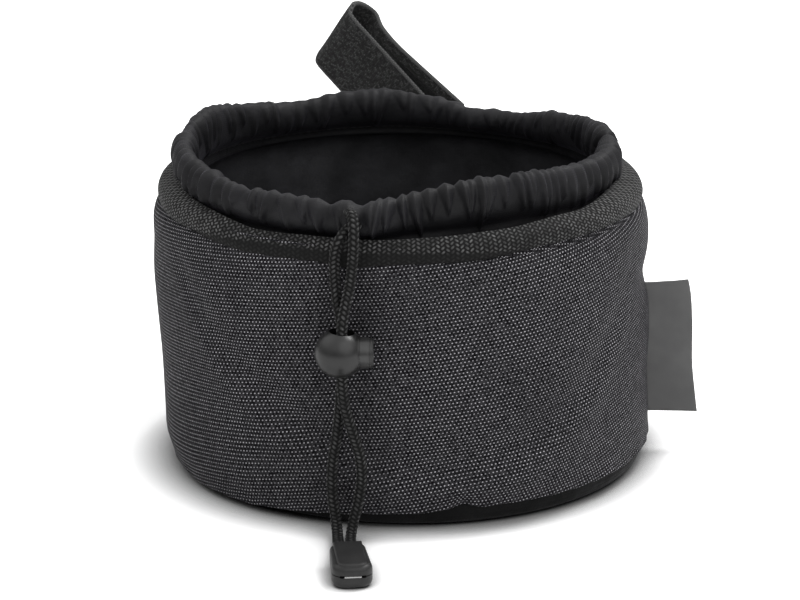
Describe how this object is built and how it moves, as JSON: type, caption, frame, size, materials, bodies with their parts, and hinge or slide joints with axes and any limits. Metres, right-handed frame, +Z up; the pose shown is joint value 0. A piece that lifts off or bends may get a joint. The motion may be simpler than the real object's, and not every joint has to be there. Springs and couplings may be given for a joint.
{
  "type": "peg bag",
  "caption": "Round fabric drawstring bag for clothes pegs, with a bound rim, gathered collar, ball cord lock, cord end, side tab and a fold-over strap to hang it on a line.",
  "frame": {"origin": "middle of the base, on the surface that the bag stands on", "axes": "+Z up, -Y towards the front with the cord lock, +X towards the side with the tab"},
  "size_m": [0.2037, 0.2766, 0.1436],
  "materials": {
    "woven_shell": "coarse woven polyester with pale flecks",
    "webbing": "woven webbing and binding tape",
    "collar_cloth": "thin plain-weave nylon, slight sheen",
    "lining": "thin plain-weave nylon, slight sheen",
    "cord": "braided polyester",
    "plastic": "satin moulded",
    "label": "woven satin ribbon",
    "hook_and_loop": "hook and loop tape",
    "board": "plain sheet",
    "spring_steel": "bright wire"
  },
  "bodies": {
    "bag": {"outer_wall": "woven_shell", "outer_base": "woven_shell", "base_board": "board", "lining_base": "lining", "lining_wall": "lining", "side_label": "label", "rim_band": "webbing", "collar": "collar_cloth", "drawstring_loop": "cord", "cord_upper_right": "cord", "cord_upper_left": "cord", "cord_lower_right": "cord", "cord_lower_left": "cord", "cord_end_base": "plastic", "cord_end_cover": "plastic", "strap_root": "webbing"},
    "cord_lock": {"cord_lock_body": "plastic", "cord_lock_spring": "spring_steel"},
    "lock_button": {"cord_lock_button": "plastic"},
    "strap": {"strap_leg": "webbing", "strap_fold": "webbing", "strap_loop_patch": "hook_and_loop"},
    "strap_end": {"strap_tail": "webbing", "strap_hook_patch": "hook_and_loop"}
  },
  "joints": [
    {"name": "cord_lock_slide", "type": "slide", "parent": "bag", "child": "cord_lock", "axis": [0, 0, 1], "range_m": [-0.034, 0.024], "deforming": ["cord_upper_right", "cord_upper_left", "cord_lower_right", "cord_lower_left"]},
    {"name": "button_press", "type": "slide", "parent": "cord_lock", "child": "lock_button", "axis": [-1, 0, 0], "range_m": [0, 0.0024], "stiffness_N_per_m": 400, "springref_m": -0.006, "deforming": ["cord_lock_spring"]},
    {"name": "strap_swing", "type": "hinge", "parent": "bag", "child": "strap", "pos_m": [0.03051, 0.08729, 0.06933], "axis": [-0.5546, 0.2705, -0.7869], "range_deg": [-2, 115]},
    {"name": "strap_flap", "type": "hinge", "parent": "strap", "child": "strap_end", "pos_m": [-0.02646, 0.12036, 0.1287], "axis": [0.5546, -0.2705, 0.7869], "range_deg": [0, 160], "deforming": ["strap_fold"]}
  ]
}
